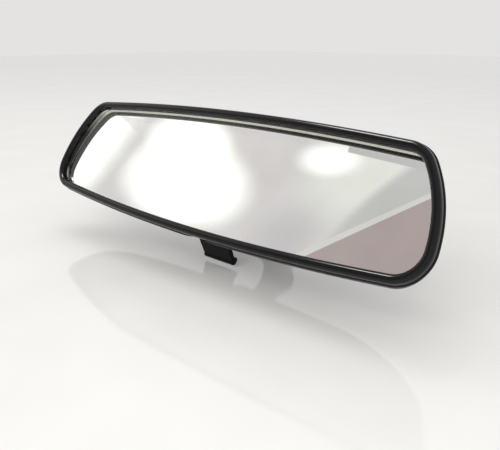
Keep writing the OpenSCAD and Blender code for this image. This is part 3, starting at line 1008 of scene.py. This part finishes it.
    def inner_walls(self) -> bpy.types.Object:
        """Ears of both pivots and the ribs behind the glass, trimmed to the middle of the shell.

        Returns:
            One object with all of them.
        """
        half = self.outline.height / 2
        boxes: list[tuple[Point3, Point3]] = []
        for side in (-1, 1):
            near, far = sorted(side * x for x in self.hinge_ear)
            low = (near, self.hinge[0] - self.hinge_ear_below, self.hinge[1] - self.hinge_ear_behind)
            boxes.append((low, (far, half, self.hinge[1] + self.hinge_ear_before)))
            near, far = sorted(side * x for x in self.lever_ear)
            high = (far, self.lever_pivot[0] + self.lever_ear_above, self.lever_ear_front)
            boxes.append(((near, -half, self.lever_pivot[1] - self.lever_ear_behind), high))
        for x in self.rib_x:
            low = (x - self.rib_t / 2, -self.rib_half_h, -self.depth)
            boxes.append((low, (x + self.rib_t / 2, self.rib_half_h, self.glass_z)))
        points, faces = boxes_mesh(boxes)
        points = [(x, y, min(z, self.glass_back(y) - self.rib_gap)) for x, y, z in points]
        walls = raw_object("walls", points, faces, self.place.matrix())
        rings = self.shell_rings(self.wall / 2, self.depth - self.wall / 2, rim=False)
        points, faces = rings_mesh(rings, closed=False)
        combine(walls, [raw_object("inside", points, faces, self.place.matrix())], "INTERSECT")
        return walls

    def housing(self) -> None:
        """Build the housing's shell with its ribs and ears, and cut its openings."""
        outer = self.shell_rings(0.0, self.depth, rim=True)
        inner = self.shell_rings(self.wall, self.depth - self.wall, rim=False)
        points, faces = rings_mesh(inner[::-1] + outer, closed=False)
        shell = raw_object("rear_housing_shell", points, faces, self.place.matrix())
        radius, back = self.arm_hole[2], self.rim_z - self.depth
        wide, proud = self.hole_ring
        ring = self.round_solid("ring", radius + wide, back - proud, back + 2 * self.wall)
        combine(shell, [ring, self.inner_walls()], "UNION")
        hole = self.round_solid("hole", radius, back - self.hole_reach, back + self.hole_reach)
        low = (-self.notch_half, -self.outline.height / 2 - self.notch_reach, self.notch_back)
        points, faces = box_points(low, (self.notch_half, self.notch_y, self.notch_reach))
        notch = raw_object("notch", points, faces, self.place.matrix())
        long, thick, high = self.hook_size[0], 2 * self.wall, self.hook_size[2]
        room = (long + self.slot_room[0], thick + self.slot_room[1], high + self.slot_room[2])
        slots = self.blocks("slots", self.hook_centres(self.wall / 2), room)
        bores = [self.cross_bore("hinge_bore", self.hinge, self.hinge_bore_r),
                 self.cross_bore("lever_bore", self.lever_pivot, self.lever_bore_r)]
        combine(shell, [hole, notch, slots, *bores], "DIFFERENCE")
        dress(shell, "head", [Finish.HOUSING], ["rear_housing"])

    def glass(self) -> None:
        """Build the wedge of glass, with polished front, ground edge and silvered back, and its silvering."""
        front = self.glass_ring(self.glass_inset + self.glass_bevel, self.glass_z)
        upper = self.glass_ring(self.glass_inset, self.glass_z - self.glass_bevel)
        lean = 1 - self.glass_end_lean / (self.outline.width / 2)
        lower = [(x * lean, y, self.glass_back(y) + self.glass_bevel) for x, y, _ in upper]
        rear = [(x * lean, y, self.glass_back(y)) for x, y, _ in front]
        points, faces = rings_mesh([front, upper, lower, rear], closed=False)
        wedge = raw_object("prism_glass_wedge", points, faces, self.place.matrix())
        finishes = [Finish.GLASS, Finish.EDGE, Finish.SILVER, Finish.BACKING]
        dress(wedge, "head", finishes, ["prism_glass"], sharp_deg=20)
        bands = [band for band in (Finish.EDGE, Finish.EDGE, Finish.BACKING) for _ in front]
        shades = [finishes.index(finish) for finish in bands + [Finish.GLASS, Finish.SILVER]]
        wedge.data.polygons.foreach_set("material_index", shades)
        wedge.visible_shadow = False
        sheet = [[(x, y, z - depth) for x, y, z in rear] for depth in self.silver_t]
        points, faces = rings_mesh(sheet, closed=False)
        silver = raw_object("silver_layer_sheet", points, faces, self.place.matrix())
        dress(silver, "head", [Finish.SILVER], ["silver_layer"])

    def pads(self) -> None:
        """Set the construction's foam pads back to where this glass ends, which is deeper and thicker."""
        source = frame["nodes"]["glass_pads"]
        pads = bpy.data.objects.new("glass_pads_foam", source.data.copy())
        bpy.context.scene.collection.objects.link(pads)
        pads.matrix_world = Matrix.Translation(-self.place.out * self.pad_shift * MM) @ source.matrix_world
        dress(pads, "head", [Finish.FOAM], ["glass_pads"])

    def build(self) -> None:
        """Build the whole head."""
        self.bezel()
        self.housing()
        self.glass()
        self.pads()


@dataclass(frozen=True)
class MeltedPiece:
    """Moulding or casting that keeps its construction's shape and gets run-in edges and fillets."""

    node: str
    body: str
    slot: str
    finish: Finish
    voxel_mm: float
    passes: int

    def build(self) -> None:
        """Copy the construction node, run its edges in and dress it."""
        source = frame["nodes"][self.node]
        piece = bpy.data.objects.new(f"{self.node}_moulding", source.data.copy())
        bpy.context.scene.collection.objects.link(piece)
        piece.matrix_world = source.matrix_world.copy()
        melt(piece, self.voxel_mm, self.passes)
        dress(piece, self.body, [self.finish], [self.node], sharp_deg=60)


MELTED = (
    MeltedPiece("dip_lever", "lever", "lever_abs", Finish.LEVER, voxel_mm=0.2, passes=4),
    MeltedPiece("arm", "mount", "painted_zinc", Finish.COAT, voxel_mm=0.35, passes=8),
    MeltedPiece("base_plate", "mount", "painted_zinc", Finish.COAT, voxel_mm=0.3, passes=5),
)


@dataclass(frozen=True)
class Lamp:
    """Square lamp over the stage, in metres and watts."""

    name: str
    spot: Point3
    target: Point3
    size: float
    watts: float
    glints: bool = False

    def hang(self) -> None:
        """Hang the lamp, which lights the whole stage or only glints on the bezel."""
        data = bpy.data.lights.new(self.name, "AREA")
        data.size = self.size
        data.energy = self.watts
        lamp = bpy.data.objects.new(self.name, data)
        bpy.context.scene.collection.objects.link(lamp)
        lamp.location = self.spot
        lamp.rotation_euler = (Vector(self.target) - Vector(self.spot)).to_track_quat("-Z", "Y").to_euler()
        lamp.visible_diffuse = not self.glints
        lamp.visible_glossy = self.glints
        lamp.visible_transmission = False
        if self.glints:
            lamp.light_linking.receiver_collection = glint_receivers


LAMPS = (
    Lamp("overhead", (-0.5, 0.3, 1.1), (0.0, -0.03, 0.0), size=0.8, watts=2.6),
    Lamp("front", (0.3, -1.0, 0.45), (0.0, -0.03, 0.03), size=1.0, watts=11.0),
    Lamp("glint", (-0.41, -0.2, 0.9), (0.08, -0.05, 0.06), size=0.24, watts=4.5, glints=True),
)


@dataclass(frozen=True)
class GlowPanel:
    """Glowing panel where the mirror looks.

    Its middle is given to the side of and above the middle of the mirror's view. That and its half width and
    half height are metres at the distance of the far panel.
    """

    name: str
    centre: Point2
    radii: Point2
    colour: str
    strength: float = 1.0
    fade: float = 0.0
    nearer: float = 0.0
    turn_deg: float = 0.0

    def build(self) -> bpy.types.Material:
        """Make its light, even all over or fading out towards its edge.

        Returns:
            The node material.
        """
        material, tree, output = new_material(self.name)
        lit = add_node(tree, "ShaderNodeEmission",
                       {"Color": to_linear(self.colour), "Strength": self.strength})
        shown = lit.outputs["Emission"]
        if self.fade > 0:
            where = add_node(tree, "ShaderNodeTexCoord").outputs["Object"]
            away = add_node(tree, "ShaderNodeVectorMath", links={0: where}, operation="LENGTH")
            share = add_node(tree, "ShaderNodeMapRange",
                             {"From Min": 1 - self.fade, "From Max": 1.0, "To Min": 1.0, "To Max": 0.0},
                             {"Value": away.outputs["Value"]}, interpolation_type="SMOOTHSTEP")
            clear = add_node(tree, "ShaderNodeBsdfTransparent")
            mix = add_node(tree, "ShaderNodeMixShader",
                           links={0: share.outputs["Result"], 1: clear.outputs["BSDF"], 2: shown})
            shown = mix.outputs["Shader"]
        tree.links.new(shown, output.inputs["Surface"])
        return material


ROOM = (
    GlowPanel("ceiling_panel", (0.0, 0.0), (1.5, 1.5), "#dedada"),
    GlowPanel("window_glow", (0.098, -0.094), (0.19, 0.135), "#fffffa", strength=1.4, fade=0.5,
              nearer=0.05, turn_deg=-38),
    GlowPanel("upper_glow", (0.167, -0.027), (0.125, 0.095), "#fffffa", strength=1.4, fade=0.5,
              nearer=0.052, turn_deg=-38),
    GlowPanel("lamp_glow", (-0.085, 0.2), (0.1, 0.055), "#fffffa", strength=1.3, fade=0.7,
              nearer=0.05, turn_deg=-50),
    GlowPanel("wall_glow", (0.44, -0.27), (0.22, 0.5), "#fffffa", strength=1.3, fade=0.25,
              nearer=0.05, turn_deg=-10),
    GlowPanel("side_glow", (-0.17, 0.23), (0.12, 0.2), "#eeefe8", fade=0.7, nearer=0.04, turn_deg=15),
    GlowPanel("low_shade", (-0.16, 0.0), (0.1, 0.15), "#cecccc", fade=0.9, nearer=0.03),
    GlowPanel("corner_shade", (-0.514, 0.23), (0.31, 0.5), "#cac9c8", fade=0.1, nearer=0.045),
    GlowPanel("ceiling_strip", (-0.178, 0.373), (0.14, 0.06), "#c8c7c8", nearer=0.055, turn_deg=-35.4),
    GlowPanel("beam_panel", (-0.68, -0.191), (0.5, 0.9), "#dcdbd7", nearer=0.06, turn_deg=15.7),
    GlowPanel("wall_panel", (-0.697, -0.191), (0.5, 0.9), "#b3a5a4", nearer=0.08, turn_deg=15.3),
)


@dataclass
class Studio:
    """Pale table, lamps, camera and the plain room that the mirror shows, in metres."""

    place: HeadFrame
    aim: Point3 = (0.0196, -0.0436, 0.0243)
    azimuth_deg: float = 43.7
    elevation_deg: float = 16.9
    distance: float = 0.3073
    focal_px: float = 632.0
    image_w: float = 500.0
    sensor_mm: float = 36.0
    table_half: float = 3.0
    table_t: float = 0.03
    mottle_mm: float = 60.0
    mirror_view: Point3 = (-0.6711, -0.4739, 0.5701)
    room_distance: float = 1.2

    def back(self) -> Vector:
        """Direction from what the camera looks at to the camera.

        Returns:
            A unit vector.
        """
        azimuth, elevation = math.radians(self.azimuth_deg), math.radians(self.elevation_deg)
        level = math.cos(elevation)
        return Vector((math.sin(azimuth) * level, -math.cos(azimuth) * level, math.sin(elevation)))

    def camera(self) -> None:
        """Set the camera at the photograph's viewing angle."""
        data = bpy.data.cameras.new("camera")
        data.sensor_fit = "HORIZONTAL"
        data.sensor_width = self.sensor_mm
        data.lens = self.sensor_mm * self.focal_px / self.image_w
        data.clip_start = 0.01
        camera = bpy.data.objects.new("camera", data)
        bpy.context.scene.collection.objects.link(camera)
        camera.location = Vector(self.aim) + self.back() * self.distance
        camera.rotation_euler = (math.radians(90 - self.elevation_deg), 0.0, math.radians(self.azimuth_deg))
        bpy.context.scene.camera = camera

    def table(self) -> None:
        """Lay the table: white laminate with a soft shine."""
        half = self.table_half
        points, faces = box_points((-half, -half, -self.table_t), (half, half, 0.0))
        table = raw_object("table", points, faces, Matrix.Identity(4))
        material, tree, output = new_material("laminate_white_gloss")
        where = add_node(tree, "ShaderNodeTexCoord").outputs["Object"]
        mottle = add_node(tree, "ShaderNodeTexNoise", {"Scale": per_mm(self.mottle_mm), "Detail": 2.0},
                          {"Vector": where})
        tint = ramp(tree, mottle.outputs["Fac"], "#e9e9e6", "#eeeeeb", span=(0.3, 0.7))
        shader = add_node(tree, "ShaderNodeBsdfPrincipled", {"Roughness": 0.07, "IOR": 1.5},
                          {"Base Color": tint})
        tree.links.new(shader.outputs["BSDF"], output.inputs["Surface"])
        table.data.materials.append(material)

    def glow(self, shape: GlowPanel) -> None:
        """Hang a glowing panel where the mirror looks.

        Args:
            shape: the panel's place, size and light.
        """
        view = Vector(self.mirror_view).normalized()
        side = view.cross(Vector((0, 0, 1))).normalized()
        rise = side.cross(view)
        reach = self.room_distance - shape.nearer
        scale = reach / self.room_distance
        middle = self.place.origin + view * reach + (side * shape.centre[0] + rise * shape.centre[1]) * scale
        axes = Matrix((side, rise, -view)).transposed().to_4x4()
        turn = axes @ Matrix.Rotation(math.radians(shape.turn_deg), 4, "Z")
        size = Matrix.Diagonal((shape.radii[0] * scale, shape.radii[1] * scale, 1, 1))
        corners: list[Point3] = [(-1, -1, 0), (1, -1, 0), (1, 1, 0), (-1, 1, 0)]
        panel = raw_object(shape.name, corners, [(0, 1, 2, 3)], Matrix.Identity(4))
        panel.matrix_world = Matrix.Translation(middle) @ turn @ size
        panel.data.materials.append(shape.build())
        panel.visible_shadow = False
        panel.visible_camera = False

    def world(self) -> None:
        """Fill the room with plain pale light, and show an even pale wall behind the object."""
        world = bpy.data.worlds.new("room")
        bpy.context.scene.world = world
        world.use_nodes = True
        tree = world.node_tree
        tree.nodes.clear()
        output = add_node(tree, "ShaderNodeOutputWorld")
        where = add_node(tree, "ShaderNodeTexCoord").outputs["Generated"]
        height = add_node(tree, "ShaderNodeSeparateXYZ", links={"Vector": where}).outputs["Z"]
        sky = ramp(tree, height, "#8a8989", "#dcdbdb", span=(0.0, 0.7))
        light = add_node(tree, "ShaderNodeBackground", {"Strength": 1.0}, {"Color": sky})
        wall = add_node(tree, "ShaderNodeBackground", {"Color": to_linear("#e4e3e2"), "Strength": 1.0})
        path = add_node(tree, "ShaderNodeLightPath")
        seen = path.outputs["Is Camera Ray"]
        for kind in ("Is Glossy Ray", "Is Transmission Ray"):
            seen = add_node(tree, "ShaderNodeMath", links={0: seen, 1: path.outputs[kind]},
                            operation="MAXIMUM").outputs["Value"]
        mix = add_node(tree, "ShaderNodeMixShader",
                       links={0: seen, 1: light.outputs["Background"], 2: wall.outputs["Background"]})
        tree.links.new(mix.outputs["Shader"], output.inputs["Surface"])

    def build(self) -> None:
        """Set the whole stage."""
        self.camera()
        self.table()
        for lamp in LAMPS:
            lamp.hang()
        for shape in ROOM:
            self.glow(shape)
        self.world()
        bpy.context.scene.view_settings.view_transform = "Standard"


def dress_construction() -> None:
    """Give the construction nodes that stay in view their finishes."""
    for name, finish in CAD_FINISHES.items():
        mesh = frame["nodes"][name].data
        mesh.materials.clear()
        mesh.materials.append(material_of(finish))
        log.info("%s: %s", name, finish.value.name)


def main() -> None:
    """Build the stage, then every sub-assembly in order."""
    logging.basicConfig(level=logging.INFO, format="%(name)s %(message)s")
    head_frame = HeadFrame.from_joints(MirrorHead.hinge)
    Studio(head_frame).build()
    dress_construction()
    MirrorHead(head_frame).build()
    for piece in MELTED:
        piece.build()


if __name__ == "__main__":
    main()
